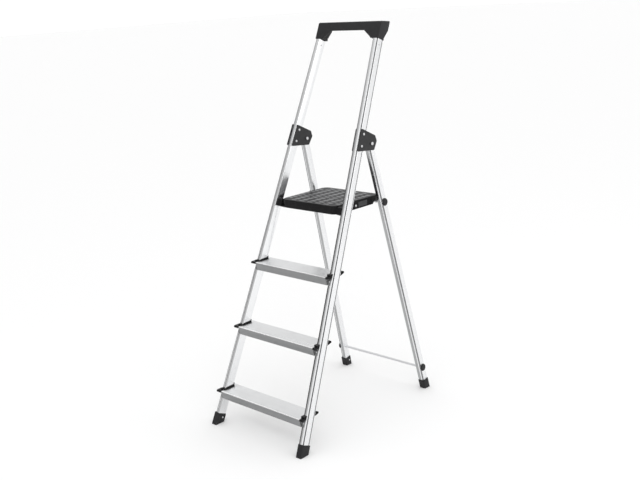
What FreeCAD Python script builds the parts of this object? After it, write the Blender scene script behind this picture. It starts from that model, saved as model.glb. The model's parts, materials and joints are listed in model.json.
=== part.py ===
import FreeCAD, Part
import math
import os
import Sketcher

# Platform step ladder: three treads and a platform between two leaning stiles,
# a grab tray across their tops, and a rear frame that folds in under the hinge
# plates and lifts the platform as it goes.  Millimetres, +X to the ladder's
# right, +Y to the rear, +Z up, origin on the floor at the middle of the stance.

doc = FreeCAD.newDocument("platform_step_ladder")
sheet = doc.addObject("Spreadsheet::Sheet", "sizes")

DIMENSIONS = [
    # front stiles
    ("front_line", -391.5),      # y of the stiles' front edge at the floor
    ("stile_spread", 244.8),     # half width over the stiles at the floor
    ("stile_narrowing", 0.059),  # half width lost per unit of height
    ("stile_slope", 0.438),      # rearward lean per unit of height
    ("stile_width", 22.6),
    ("stile_depth", 34.7),
    ("stile_flat", 12.4),        # flat part of the front face, from the inner side
    ("stile_bevel", 3.4),        # drop of the bevelled part of the front face
    ("stile_wall", 1.6),
    ("groove_width", 1.0),
    ("stile_start", 21.0),       # distance up the stile where the tube begins
    ("stile_end", 1574.6),
    # treads
    ("tread_rise_first", 132.8),
    ("tread_rise", 238.5),
    ("tread_depth", 85.5),
    ("tread_skin", 1.8),
    ("flange_drop", 32.6),
    ("flange_set_back", 6.9),    # how far the flange leans back below the nose
    ("flange_skin", 2.6),
    ("nose_reach", 24.2),        # how far the nose stands in front of the stile
    ("tab_lap", 13.6),           # tab length over each stile's front face
    ("tab_drop", 13.0),
    ("rear_flange_drop", 18.0),
    ("rear_lip", 8.0),
    ("clip_skin", 3.0),
    ("clip_rim", 5.0),
    ("clip_side_gap", 1.6),
    ("tread_end_gap", 4.9),
    # rear frame
    ("rear_line", 363.5),        # y of the rear legs' front face at the floor
    ("rear_centre_spread", 217.6),
    ("rear_slope", 0.217),
    ("rear_width", 24.0),
    ("rear_depth", 27.3),
    ("rear_wall", 1.5),
    ("rear_top", 14.0),          # leg length above the hinge
    ("hinge_height", 1057.0),
    ("hinge_centre_spread", 169.8),
    ("hinge_pin_radius", 4.0),
    ("running_gap", 0.05),
    ("bush_radius", 6.5),
    ("plate_skin", 3.2),
    ("plate_relief", 1.4),
    ("brace_height", 95.0),
    ("brace_radius", 5.0),
    ("rod_height", 822.6),
    ("rod_radius", 6.0),
    ("cap_radius", 15.0),
    ("cap_height", 6.0),
    # platform
    ("deck_top", 845.0),
    ("deck_front", 363.3),       # distance behind the stiles' floor line
    ("deck_rear", 619.3),
    ("deck_half_width", 145.3),
    ("deck_height", 32.0),
    ("deck_corner", 28.0),
    ("deck_skin", 3.4),
    ("deck_pin_radius", 4.0),
    ("deck_pin_height", 829.0),
    ("side_rivet_back", 477.0),
    ("side_rivet_height", 826.0),
    # tray
    ("tray_top", 1500.0),
    ("tray_seam", 1441.0),
    ("tray_under", 1468.0),
    ("tray_half_width", 161.5),
    ("tray_back", 706.0),
    ("tray_floor", 1486.0),
    ("tray_rim", 4.0),
    ("socket_inner", 122.0),
    # feet
    ("foot_skin", 2.2),
    ("front_foot_length", 49.0),
    ("rear_foot_length", 40.0),
]

for row, (alias, number) in enumerate(DIMENSIONS, start=1):
    sheet.set("A%d" % row, alias)
    sheet.set("B%d" % row, str(number))
    sheet.setAlias("B%d" % row, alias)
doc.recompute()


class Size:
    """A length that knows both its value and the sheet expression behind it."""

    def __init__(self, value, text):
        self.value = value
        self.text = text

    def join(self, other, sign, value):
        right = other.text if isinstance(other, Size) else repr(float(other))
        return Size(value, "(%s %s %s)" % (self.text, sign, right))

    def __add__(self, other):
        return self.join(other, "+", self.value + number_of(other))

    def __sub__(self, other):
        return self.join(other, "-", self.value - number_of(other))

    def __mul__(self, other):
        return self.join(other, "*", self.value * number_of(other))

    def __truediv__(self, other):
        return self.join(other, "/", self.value / number_of(other))

    def __neg__(self):
        return Size(-self.value, "(-1 * %s)" % self.text)


def number_of(length):
    return length.value if isinstance(length, Size) else float(length)


def text_of(length):
    return length.text if isinstance(length, Size) else repr(float(length))


def size(alias):
    return Size(float(sheet.get(alias)), "sizes." + alias)


def bind(item, prop, length):
    """Set a property to a length, tied to the sheet when it comes from there."""
    if isinstance(length, Size):
        item.setExpression(prop, length.text)
    else:
        setattr(item, prop, float(length))


def origin_plane(body, role):
    for feature in body.Origin.OriginFeatures:
        if feature.Role == role:
            return feature
    raise ValueError(role)


def pin_coordinate(sketch, kind, index, length):
    """Hold one coordinate of a line's start point at a signed distance."""
    axis = -2 if kind == "DistanceX" else -1
    if abs(number_of(length)) < 1e-9:
        sketch.addConstraint(Sketcher.Constraint("PointOnObject", index, 1, axis))
        return
    if number_of(length) > 0:
        constraint = Sketcher.Constraint(kind, -1, 1, index, 1, number_of(length))
        text = text_of(length)
    else:
        constraint = Sketcher.Constraint(kind, index, 1, -1, 1, -number_of(length))
        text = "-1 * " + text_of(length)
    place = sketch.addConstraint(constraint)
    if isinstance(length, Size):
        sketch.setExpression("Constraints[%d]" % place, text)


def add_loop(sketch, points):
    """Closed polygon through the points, each point held in x and y."""
    first = sketch.GeometryCount
    count = len(points)
    for step in range(count):
        ends = []
        for x, y in (points[step], points[(step + 1) % count]):
            ends.append(FreeCAD.Vector(number_of(x), number_of(y), 0))
        sketch.addGeometry(Part.LineSegment(ends[0], ends[1]), False)
    for step in range(count):
        follower = first + (step + 1) % count
        sketch.addConstraint(Sketcher.Constraint("Coincident", first + step, 2, follower, 1))
    for step, (x, y) in enumerate(points):
        pin_coordinate(sketch, "DistanceX", first + step, x)
        pin_coordinate(sketch, "DistanceY", first + step, y)


def new_body(label, placement):
    body = doc.addObject("PartDesign::Body", label)
    body.Label = label
    body.Placement = placement
    return body


def new_sketch(body, name, role, shift=None):
    sketch = body.newObject("Sketcher::SketchObject", name)
    sketch.AttachmentSupport = [(origin_plane(body, role), "")]
    sketch.MapMode = "FlatFace"
    if shift is not None:
        sketch.AttachmentOffset = FreeCAD.Placement(
            FreeCAD.Vector(0, 0, number_of(shift)), FreeCAD.Rotation())
        if isinstance(shift, Size):
            sketch.setExpression("AttachmentOffset.Base.z", shift.text)
    return sketch


def pad(body, sketch, length, both_ways=False, backwards=False):
    feature = body.newObject("PartDesign::Pad", sketch.Name + "_pad")
    feature.Profile = sketch
    bind(feature, "Length", length)
    if both_ways:
        feature.SideType = "Symmetric"
    feature.Reversed = backwards
    sketch.Visibility = False
    return feature


def pocket(body, sketch, length, both_ways=False, backwards=False):
    doc.recompute()
    before = body.Tip.Shape.Volume
    feature = body.newObject("PartDesign::Pocket", sketch.Name + "_pocket")
    feature.Profile = sketch
    bind(feature, "Length", length)
    if both_ways:
        feature.SideType = "Symmetric"
    feature.Reversed = backwards
    sketch.Visibility = False
    doc.recompute()
    if feature.Shape.Volume > before - 1e-3:
        raise ValueError("pocket cuts nothing: " + feature.Label)
    return feature


def round_edges(body, radius, wanted):
    """Fillet the body's edges whose two ends both satisfy the test."""
    doc.recompute()
    base = body.Tip
    names = []
    for index, edge in enumerate(base.Shape.Edges, start=1):
        if len(edge.Vertexes) == 2 and wanted(edge.Vertexes[0].Point, edge.Vertexes[1].Point):
            names.append("Edge%d" % index)
    if not names:
        raise ValueError("no edges to round: " + body.Label)
    feature = body.newObject("PartDesign::Fillet", body.Name + "_round")
    feature.Base = (base, names)
    bind(feature, "Radius", radius)
    return feature


def is_along(direction):
    """Edge test: the edge runs along the given axis number."""
    def check(first, second):
        run = second - first
        return abs(abs(run[direction]) - run.Length) < 1e-6
    return check


def frame(origin, up, side_axis=FreeCAD.Vector(1, 0, 0)):
    """Placement with local z along up and local x as near side_axis as it can be."""
    z_axis = FreeCAD.Vector(up).normalize()
    x_axis = (side_axis - z_axis * side_axis.dot(z_axis)).normalize()
    y_axis = z_axis.cross(x_axis)
    matrix = FreeCAD.Matrix(
        x_axis.x, y_axis.x, z_axis.x, origin.x,
        x_axis.y, y_axis.y, z_axis.y, origin.y,
        x_axis.z, y_axis.z, z_axis.z, origin.z,
        0, 0, 0, 1)
    return FreeCAD.Placement(matrix)


def level(x, y, z):
    """Placement with no turn, y counted from the stiles' floor line."""
    base = FreeCAD.Vector(x, y + FRONT_LINE, z)
    return FreeCAD.Placement(base, FreeCAD.Rotation())


SIDES = (("left", -1), ("right", 1))
ALONG_X = FreeCAD.Rotation(FreeCAD.Vector(0, 1, 0), 90)

FRONT_LINE = number_of(size("front_line"))
SPREAD = number_of(size("stile_spread"))
NARROWING = number_of(size("stile_narrowing"))
SLOPE = number_of(size("stile_slope"))


def stile_frame(side):
    """Frame at the stile's outer front edge on the floor, z up the stile."""
    origin = FreeCAD.Vector(side * SPREAD, FRONT_LINE, 0)
    return frame(origin, FreeCAD.Vector(-side * NARROWING, SLOPE, 1))


def stile_inner(height):
    """Half width between the stiles' inner sides at a height."""
    return SPREAD - NARROWING * height - number_of(size("stile_width"))


def rear_direction(side):
    rise = number_of(size("hinge_height"))
    spread = number_of(size("rear_centre_spread")) - number_of(size("hinge_centre_spread"))
    return FreeCAD.Vector(-side * spread / rise, -number_of(size("rear_slope")), 1)


def rear_floor_centre(side):
    lean = math.atan(number_of(size("rear_slope")))
    half = number_of(size("rear_depth")) / 2 / math.cos(lean)
    spread = number_of(size("rear_centre_spread"))
    return FreeCAD.Vector(side * spread, number_of(size("rear_line")) + half, 0)


def rear_centre(side, height):
    """Centre line of a rear leg at a height."""
    return rear_floor_centre(side) + rear_direction(side) * height


def rear_frame_at(side, height):
    return frame(rear_centre(side, height), rear_direction(side))


def unite(label, base, others):
    """One object from a base and several tools, through Part::MultiFuse."""
    joined = doc.addObject("Part::MultiFuse", label)
    joined.Label = label
    joined.Shapes = [base] + others
    return joined


def subtract(label, base, tool):
    result = doc.addObject("Part::Cut", label)
    result.Label = label
    result.Base = base
    result.Tool = tool
    return result


def cylinder(name, radius, height, placement):
    item = doc.addObject("Part::Cylinder", name)
    bind(item, "Radius", radius)
    bind(item, "Height", height)
    item.Placement = placement
    return item


def box(name, lengths, placement):
    item = doc.addObject("Part::Box", name)
    for prop, length in zip(("Length", "Width", "Height"), lengths):
        bind(item, prop, length)
    item.Placement = placement
    return item


SUBPARTS = []


def keep(item):
    SUBPARTS.append(item)
    return item


# ---------------------------------------------------------------- front stiles

def build_stile(name, side):
    """Hollow extrusion: flat and bevelled front face, grooved corner, flat webs."""
    body = new_body("stile_%s_extrusion" % name, stile_frame(side))
    width = size("stile_width")
    depth = size("stile_depth")
    wall = size("stile_wall")
    bevel = size("stile_bevel")
    groove = size("groove_width")
    flat_end = width - size("stile_flat")

    def across(inward):
        return inward * -1.0 if side > 0 else inward * 1.0

    outline = [
        (across(width), 0), (across(flat_end), 0),
        (across(groove * 0.6), bevel), (across(groove * 1.4), bevel + groove * 0.2),
        (across(groove * 1.4), bevel + groove), (0, bevel + groove * 1.4),
        (0, depth - 3.0), (across(groove * 2.0), depth), (across(width), depth)]
    hollow = [
        (across(width - wall), wall), (across(flat_end), wall),
        (across(wall + groove * 1.4), bevel + wall),
        (across(wall + groove * 1.4), bevel + wall + groove),
        (across(wall), bevel + wall + groove * 1.6), (across(wall), depth - 4.0),
        (across(wall + groove * 1.4), depth - wall), (across(width - wall), depth - wall)]
    sketch = new_sketch(body, name + "_stile_section", "XY_Plane", size("stile_start"))
    add_loop(sketch, outline)
    add_loop(sketch, hollow)
    pad(body, sketch, size("stile_end") - size("stile_start"))
    holes = []
    for count, (y, z) in enumerate(PLATE_RIVETS):
        holes.append(rivet_shank("%s_stile_hole_%d" % (name, count), side, y, z, 2.55))
    joined = unite("%s_stile_holes" % name, holes[0], holes[1:])
    return keep(subtract("stile_" + name, body, joined))


# --------------------------------------------------------------------- treads

TREADS = ("lower", "middle", "upper")


def tread_height(level_number):
    first = number_of(size("tread_rise_first"))
    return first + number_of(size("tread_rise")) * level_number


def build_tread(name, level_number):
    """Channel tread with a nose ahead of the stiles and a tab riveted to each stile."""
    height = tread_height(level_number)
    nose_y = SLOPE * height - number_of(size("nose_reach"))
    body = new_body("tread_" + name, level(0, nose_y, height))
    skin = size("tread_skin")
    drop = size("flange_drop")
    back = size("flange_set_back")
    slope = size("stile_slope")
    thick = size("flange_skin")
    depth = size("tread_depth")
    rear = size("rear_flange_drop")
    lip = size("rear_lip")
    contact = size("nose_reach") - 0.3      # plane of the stile's front, level with the nose
    tab_top = size("tab_drop")
    lap = size("tab_lap")
    inner = stile_inner(height)

    flange = new_sketch(body, name + "_flange_section", "YZ_Plane")
    add_loop(flange, [
        (0, 0), (back, -drop), (back + thick, -drop), (thick + 0.4, -skin), (thick, 0)])
    pad(body, flange, inner * 2.0 + 2.0, both_ways=True)

    top = new_sketch(body, name + "_top_section", "YZ_Plane")
    add_loop(top, [
        (thick - 0.4, -skin), (depth - skin, -skin), (depth - skin, skin - rear),
        (depth - lip, skin - rear), (depth - lip, -rear), (depth, -rear), (depth, 0),
        (thick - 0.4, 0)])
    top_half = size("tread_end_gap") * -1.0 + inner
    pad(body, top, top_half * 2.0, both_ways=True)

    ribs = new_sketch(body, name + "_rib_section", "YZ_Plane")
    for share in (0.34, 0.67):
        add_loop(ribs, [
            (depth * share, -skin), (depth * share, -(skin + 6.0)),
            (depth * share + 1.6, -(skin + 6.0)), (depth * share + 1.6, -skin)])
    pad(body, ribs, top_half * 2.0, both_ways=True)

    # the sheet widens at the nose, and behind the stiles up to the clips' rear wings
    wings = new_sketch(body, name + "_wings", "XY_Plane", -skin)
    for side in (-1.0, 1.0):
        edge = top_half * side
        add_loop(wings, [
            (edge - 1.0 * side, depth - 19.0), (edge, depth - 19.0),
            (edge + 17.1 * side, depth - 0.5), (edge + 17.1 * side, depth),
            (edge - 1.0 * side, depth)])
        add_loop(wings, [
            (edge - 1.0 * side, 2.0), (edge + 5.9 * side, 2.0), (edge + 5.9 * side, 14.0),
            (edge - 1.0 * side, 14.0)])
    pad(body, wings, skin)

    # each end returns to the stile and laps over its front face
    for side, word in ((-1.0, "left"), (1.0, "right")):
        start = inner - 7.5 if side > 0 else -(lap + inner)
        tab = new_sketch(body, "%s_tab_%s" % (name, word), "YZ_Plane", start)
        add_loop(tab, [
            (contact - thick - slope * drop, -drop), (contact - slope * drop, -drop),
            (contact - slope * tab_top, -tab_top), (contact - thick - slope * tab_top, -tab_top)])
        pad(body, tab, lap + 7.5)
        start = inner - 1.4 if side > 0 else -(1.0 + inner)
        gusset = new_sketch(body, "%s_gusset_%s" % (name, word), "YZ_Plane", start)
        add_loop(gusset, [
            (2.0, -1.0), (back + 1.2, -31.5), (back + 1.8, -31.5),
            (contact - 7.0, -tab_top - 0.5), (contact - 3.9, -6.0), (contact - 3.9, -1.0)])
        pad(body, gusset, 2.4)
    far = number_of(lap) + inner
    round_edges(body, 5.0, lambda a, b: abs(a.x - b.x) < 1e-6 and abs(a.z - b.z) < 1e-6
                and a.z < -30 and abs(abs(a.x) - far) < 1e-3)
    return keep(body)


def build_clip(tread, name, level_number, side):
    """Moulded end piece: a plate in the joint, a block ahead of the stile, a rear wing."""
    height = tread_height(level_number)
    nose_y = SLOPE * height - number_of(size("nose_reach"))
    inner = stile_inner(height)
    label = "clip_%s_%s" % (tread, name)
    body = new_body(label, level(side * inner, nose_y, height))
    gap = size("clip_side_gap")
    skin = size("clip_skin")
    rim = size("clip_rim")
    depth = size("tread_depth")

    # wing that runs outwards behind the stile and tapers to a point
    wing = new_sketch(body, label + "_wing", "XY_Plane", -14.0)
    add_loop(wing, [
        (-4.6 * side, depth - 24.5), (-1.6 * side, depth - 24.5), (-1.6 * side, depth - 20.6),
        (0.0, depth - 18.9), (19.0 * side, depth - 2.5), (16.8 * side, depth),
        (-4.6 * side, depth - 19.3)])
    pad(body, wing, 28.0)
    taper = new_sketch(body, label + "_taper", "YZ_Plane")
    add_loop(taper, [(depth - 26.0, 6.6), (depth - 19.5, 6.8), (depth - 17.0, 11.5), (depth - 12.0, 10.0),
                     (depth - 2.5, 5.2), (depth + 1.5, 3.0), (depth + 1.5, 18.0), (depth - 26.0, 18.0)])
    add_loop(taper, [(depth - 22.5, -14.0), (depth - 22.5, -18.0), (depth + 1.5, -18.0),
                     (depth + 1.5, 0.5), (depth - 3.0, -1.5), (depth - 12.0, -12.5)])
    pocket(body, taper, 60.0, both_ways=True)

    plate = new_sketch(body, label + "_plate", "YZ_Plane", gap * (-1.0 * side))
    add_loop(plate, [
        (16.0, 3.0), (16.0, -12.6), (depth - 23.5, -14.0), (depth - 1.5, -9.0),
        (depth - 1.5, -2.2), (depth - 19.7, -2.2), (depth - 19.7, 6.2),
        (depth - 22.5, rim + 1.0), (24.0, rim + 0.7)])
    pad(body, plate, skin, backwards=side > 0)

    # block between the nose and the stile's front face, with raised steps at the stile
    bridge = new_sketch(body, label + "_bridge", "YZ_Plane", 2.0 * side)
    add_loop(bridge, [(16.0, 0.6), (24.2, 0.6), (24.6, 2.4), (16.0, 2.4)])
    pad(body, bridge, 6.0, backwards=side > 0)
    block = new_sketch(body, label + "_block", "YZ_Plane", 1.4 * side)
    add_loop(block, [
        (-1.0, -6.5), (20.9, -6.5), (24.2, 1.0), (1.0, 1.0), (-1.5, -2.5)])
    pad(body, block, 13.0 if side > 0 else 24.0, backwards=side < 0)
    steps = ((-1.6, 14.4, 7.6),) if side > 0 else ((-1.6, 9.0, 2.4), (8.5, 16.5, 5.0))
    for number, (start, stop, rise) in enumerate(steps):
        step = new_sketch(body, "%s_step_%d" % (label, number), "YZ_Plane", start * side)
        add_loop(step, [(12.5, 0.5), (24.0, 0.5), (23.8 + SLOPE * rise, rise), (12.5, rise)])
        pad(body, step, stop - start, backwards=side < 0)
    return keep(body)


# ----------------------------------------------------------------------- tray

def build_tray():
    """Grab tray: leaning front, shallow trough, sockets that plug into the stiles."""
    half = size("tray_half_width")
    top = size("tray_top")
    seam = size("tray_seam")
    under = size("tray_under")
    socket = size("socket_inner")
    slope = size("stile_slope")
    back = size("tray_back")
    width = 2 * number_of(half)

    front = new_body("tray_front_view", level(0, 0, 0))
    sketch = new_sketch(front, "tray_outline", "XZ_Plane")
    low = seam - 24.0
    end = socket - 38.0
    add_loop(sketch, [
        (-half, low), (-socket, low), (-socket, seam + 2.0), (-end, under), (end, under),
        (socket, seam + 2.0), (socket, low), (half, low), (half, top - 3.0), (half - 3.0, top),
        (-(half - 3.0), top), (-half, top - 3.0)])
    pad(front, sketch, 1600.0, both_ways=True)

    side = new_body("tray_side_view", level(0, 0, 0))
    profile = new_sketch(side, "tray_profile", "YZ_Plane")
    step_back = 34.7 * 0.4012
    rear_seam = seam - step_back
    add_loop(profile, [
        (seam * slope, seam), (rear_seam * slope + 37.6, rear_seam),
        (rear_seam * slope + 39.5, rear_seam + 8.0), (back - 15.0, under - 7.4),
        (back - 2.0, top - 8.0), (back - 4.0, top - 4.0), (top * slope + 4.0, top),
        (top * slope + 2.0, top), ((top - 2.0) * slope, top - 2.0)])
    pad(side, profile, width + 40.0, both_ways=True)

    blank = doc.addObject("Part::Common", "tray_blank")
    blank.Base = front
    blank.Tool = side

    trough = new_body("tray_trough", level(0, 0, 0))
    floor = size("tray_floor")
    rim = size("tray_rim")
    hollow = new_sketch(trough, "tray_hollow", "XY_Plane", floor)
    add_loop(hollow, [
        (-(half - rim - 6.0), top * slope + 7.0), (half - rim - 6.0, top * slope + 7.0),
        (half - rim - 6.0, back - rim - 2.0), (-(half - rim - 6.0), back - rim - 2.0)])
    pad(trough, hollow, 30.0)
    round_edges(trough, 6.0, is_along(2))

    relief = new_body("tray_relief", level(0, 0, 0))
    gap = new_sketch(relief, "tray_relief_outline", "XZ_Plane")
    add_loop(gap, [
        (-(socket - 34.0), 1400.0), (socket - 34.0, 1400.0),
        (socket - 34.0, floor - 4.0), (-(socket - 34.0), floor - 4.0)])
    inset = number_of(top) * SLOPE + 4.0
    gap.AttachmentOffset = FreeCAD.Placement(FreeCAD.Vector(0, 0, -inset), FreeCAD.Rotation())
    pad(relief, gap, number_of(back) - inset - 14.0, backwards=True)

    # behind the leaning front skin the lower part is open between the sockets
    below = new_body("tray_below", level(0, 0, 0))
    reach = new_sketch(below, "tray_below_outline", "YZ_Plane")
    add_loop(reach, [
        (low * slope + 5.0, low - 30.0), (low * slope + 5.0, low), (under * slope + 5.0, under),
        (back + 20.0, under), (back + 20.0, low - 30.0)])
    pad(below, reach, (socket + 4.0) * 2.0, both_ways=True)

    carved = subtract("tray_carved", blank, trough)
    carved = subtract("tray_opened", carved, below)
    carved = subtract("tray_shell", carved, relief)

    plugs = []
    for name, sign in SIDES:
        plug = new_body("tray_plug_" + name, stile_frame(sign))
        section = new_sketch(plug, name + "_plug_section", "XY_Plane", size("stile_end") - 42.0)
        clear = 0.25
        wall = size("stile_wall") + clear
        inward = size("stile_width") - wall
        turn = -1.0 * sign
        add_loop(section, [
            (inward * turn, wall), (size("stile_flat") * 0.8 * turn, wall),
            ((wall + 2.4) * turn, size("stile_bevel") + wall + 1.0),
            ((wall + 2.4) * turn, size("stile_depth") - wall - 2.6),
            ((wall + 4.0) * turn, size("stile_depth") - wall),
            (inward * turn, size("stile_depth") - wall)])
        pad(plug, section, 60.0)
        plugs.append(plug)
    return keep(unite("tray", carved, plugs))


# --------------------------------------------------------------- hinge plates

def to_stile(y, z):
    """Depth behind the stile's front face and distance up it, for a point y, z."""
    lean = math.atan(SLOPE)
    back = y - SLOPE * z
    return back * math.cos(lean), z / math.cos(lean) + back * math.sin(lean)


PLATE_OUTLINE = (
    (491.8, 1122.0), (566.0, 1086.0), (573.0, 1064.0), (553.0, 1032.0), (456.0, 1041.0))
PLATE_RIVETS = ((501.0, 1099.8), (483.0, 1057.3))


def hinge_pin_y():
    return rear_centre(1, number_of(size("hinge_height"))).y - FRONT_LINE


def build_plate(name, side, position, outward):
    """Hinge plate on one face of a stile, relieved where the rear leg swings."""
    label = "hinge_plate_%s_%s" % (position, name)
    body = new_body(label + "_blank", stile_frame(side))
    skin = size("plate_skin")
    relief = size("plate_relief")
    width = size("stile_width")
    away = side if outward else -side
    shift = 0.05 if outward else number_of(width) + 0.05
    start = shift * (side if outward else -side)
    plate = new_sketch(body, label + "_outline", "YZ_Plane", start)
    add_loop(plate, [to_stile(y, z) for y, z in PLATE_OUTLINE])
    pad(body, plate, skin, backwards=away < 0)
    round_edges(body, 5.0, is_along(0))

    # room for the leg behind the stile
    swing = new_sketch(body, label + "_relief", "YZ_Plane", start)
    near = to_stile(506.0, 1073.0)[0]
    low = to_stile(556.0, 1020.0)[1]
    high = to_stile(560.0, 1110.0)[1]
    add_loop(swing, [(near, low - 20.0), (near + 90.0, low - 20.0), (near + 90.0, high), (near, high)])
    pocket(body, swing, relief, backwards=away > 0)

    tools = []
    pin = FreeCAD.Placement(
        FreeCAD.Vector(side * 130.0, hinge_pin_y() + FRONT_LINE, number_of(size("hinge_height"))),
        FreeCAD.Rotation(FreeCAD.Vector(0, 1, 0), 90 * side))
    tools.append(cylinder(label + "_pin_hole", size("hinge_pin_radius") + size("running_gap"),
                          100.0, pin))
    for count, (y, z) in enumerate(PLATE_RIVETS):
        tools.append(rivet_shank("%s_hole_%d" % (label, count), side, y, z, 2.55))
    joined = unite(label + "_holes", tools[0], tools[1:])
    return keep(subtract(label, body, joined))


def rivet_shank(name, side, y, z, radius, start=-14.0, length=50.0):
    """Cylinder square to a stile's webs, through the point y, z."""
    back, along = to_stile(y, z)
    place = stile_frame(side)
    local = FreeCAD.Placement(
        FreeCAD.Vector(-side * start, back, along),
        FreeCAD.Rotation(FreeCAD.Vector(0, 1, 0), -90 * side))
    return cylinder(name, radius, length, place.multiply(local))


def domed_pin(side_placement, shank, length, head, head_height):
    """Solid of a shank with a low domed head on each end, along local z."""
    shape = Part.makeCylinder(shank, length)
    for end, turn in ((length, 1), (0.0, -1)):
        dome = Part.makeCylinder(head, head_height * 0.45, FreeCAD.Vector(0, 0, end),
                                 FreeCAD.Vector(0, 0, turn))
        crown = Part.makeCone(head, head * 0.55, head_height * 0.55,
                              FreeCAD.Vector(0, 0, end + turn * head_height * 0.45),
                              FreeCAD.Vector(0, 0, turn))
        shape = shape.fuse([dome, crown])
    shape = shape.removeSplitter()
    shape.Placement = side_placement
    return shape


def solid_group(label, shapes):
    item = doc.addObject("Part::Feature", label)
    item.Label = label
    item.Shape = shapes[0] if len(shapes) == 1 else Part.makeCompound(shapes)
    return keep(item)


def build_hinge_rivets():
    """Two fixed rivets a side through both plates and the stile."""
    shapes = []
    skin = number_of(size("plate_skin")) + 0.15
    length = number_of(size("stile_width")) + 2 * skin
    for name, side in SIDES:
        for y, z in PLATE_RIVETS:
            back, along = to_stile(y, z)
            local = FreeCAD.Placement(
                FreeCAD.Vector(side * skin, back, along),
                FreeCAD.Rotation(FreeCAD.Vector(0, 1, 0), -90 * side))
            shapes.append(domed_pin(stile_frame(side).multiply(local), 2.5, length, 5.0, 2.4))
    return solid_group("hinge_rivets", shapes)


def build_hinge_pins():
    """The pivot pin of each rear leg, level across the ladder."""
    shapes = []
    radius = number_of(size("hinge_pin_radius"))
    height = number_of(size("hinge_height"))
    centre = number_of(size("hinge_centre_spread"))
    length = 36.0
    for name, side in SIDES:
        place = FreeCAD.Placement(
            FreeCAD.Vector(side * centre - length / 2, hinge_pin_y() + FRONT_LINE, height), ALONG_X)
        shapes.append(domed_pin(place, radius, length, 6.4, 2.6))
    return solid_group("hinge_pins", shapes)


# ------------------------------------------------------------------ rear frame

def build_rear_leg(name, side):
    """Hollow rear leg with bores for the hinge bush, the platform rod and brace."""
    top_height = number_of(size("hinge_height"))
    body = new_body("rear_leg_%s_tube" % name, rear_frame_at(side, 0.0))
    half_w = size("rear_width") / 2.0
    half_d = size("rear_depth") / 2.0
    wall = size("rear_wall")

    def section(inset):
        w = half_w - inset
        d = half_d - inset
        cut = 4.2
        turn = 1.0 * side
        return [(w * -turn, -d), ((w - cut * 1.8) * turn, -d), (w * turn, -(d - cut * 0.55)),
                (w * turn, d - 1.6), ((w - 1.6) * turn, d), (w * -turn, d)]

    length = rear_direction(side).Length
    start = 12.0
    sketch = new_sketch(body, name + "_rear_section", "XY_Plane", start)
    add_loop(sketch, section(0.0))
    add_loop(sketch, section(number_of(wall)))
    pad(body, sketch, size("hinge_height") * length + size("rear_top") - start)

    tools = []
    for tag, height, radius in (
            ("bush", top_height, size("bush_radius") + 0.02),
            ("rod", number_of(size("rod_height")), size("rod_radius") + 0.1),
            ("brace", number_of(size("brace_height")), size("brace_radius") + 0.1)):
        centre = rear_centre(side, height)
        place = FreeCAD.Placement(centre + FreeCAD.Vector(-30, 0, 0), ALONG_X)
        tools.append(cylinder("%s_leg_%s_hole" % (name, tag), radius, 60.0, place))
    joined = unite("%s_leg_holes" % name, tools[0], tools[1:])
    return keep(subtract("rear_leg_" + name, body, joined))


def tube_between(centre, outer, inner, half_length):
    place = FreeCAD.Placement(centre - FreeCAD.Vector(half_length, 0, 0), ALONG_X)
    shape = Part.makeCylinder(outer, 2 * half_length)
    if inner > 0:
        shape = shape.cut(Part.makeCylinder(inner, 2 * half_length))
    shape.Placement = place
    return shape


def build_bushes():
    """Flanged plastic bush in each rear leg, running on the hinge pin."""
    shapes = []
    height = number_of(size("hinge_height"))
    inner = number_of(size("hinge_pin_radius")) + number_of(size("running_gap"))
    outer = number_of(size("bush_radius"))
    half = number_of(size("rear_width")) / 2 - 0.5
    for name, side in SIDES:
        shapes.append(tube_between(rear_centre(side, height), outer, inner, half))
    return solid_group("hinge_bushes", shapes)


def outer_face_spread(height):
    lean = rear_direction(1)
    half = number_of(size("rear_width")) / 2 * lean.Length / math.sqrt(lean.y ** 2 + 1)
    return rear_centre(1, height).x + half


def build_rod(label, height, radius, wall):
    """Tube across the rear frame, through both legs."""
    centre = rear_centre(1, height)
    centre.x = 0.0
    item = doc.addObject("Part::Feature", label)
    item.Label = label
    item.Shape = tube_between(centre, radius, radius - wall, outer_face_spread(height) + 3.0)
    return keep(item)


def build_cap(label, name, side, height, radius):
    """Domed push-on cap over the end of a cross tube."""
    depth = number_of(size("cap_height"))
    rim = number_of(size("cap_radius"))
    place = rear_frame_at(side, height)
    out = number_of(size("rear_width")) / 2 + 0.1
    shape = Part.makeCylinder(rim, depth * 0.5)
    crown = Part.makeCone(rim, rim * 0.72, depth * 0.5, FreeCAD.Vector(0, 0, depth * 0.5))
    shape = shape.fuse(crown).removeSplitter()
    local = FreeCAD.Placement(FreeCAD.Vector(side * out, 0, 0),
                              FreeCAD.Rotation(FreeCAD.Vector(0, 1, 0), 90 * side))
    shape.Placement = place.multiply(local)
    centre = rear_centre(1, height)
    centre.x = 0.0
    room = tube_between(centre, radius + 0.1, 0.0, outer_face_spread(height) + 3.3)
    item = doc.addObject("Part::Feature", label + "_" + name)
    item.Label = label + "_" + name
    item.Shape = shape.cut(room)
    return keep(item)


# ------------------------------------------------------------------------ feet

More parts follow.
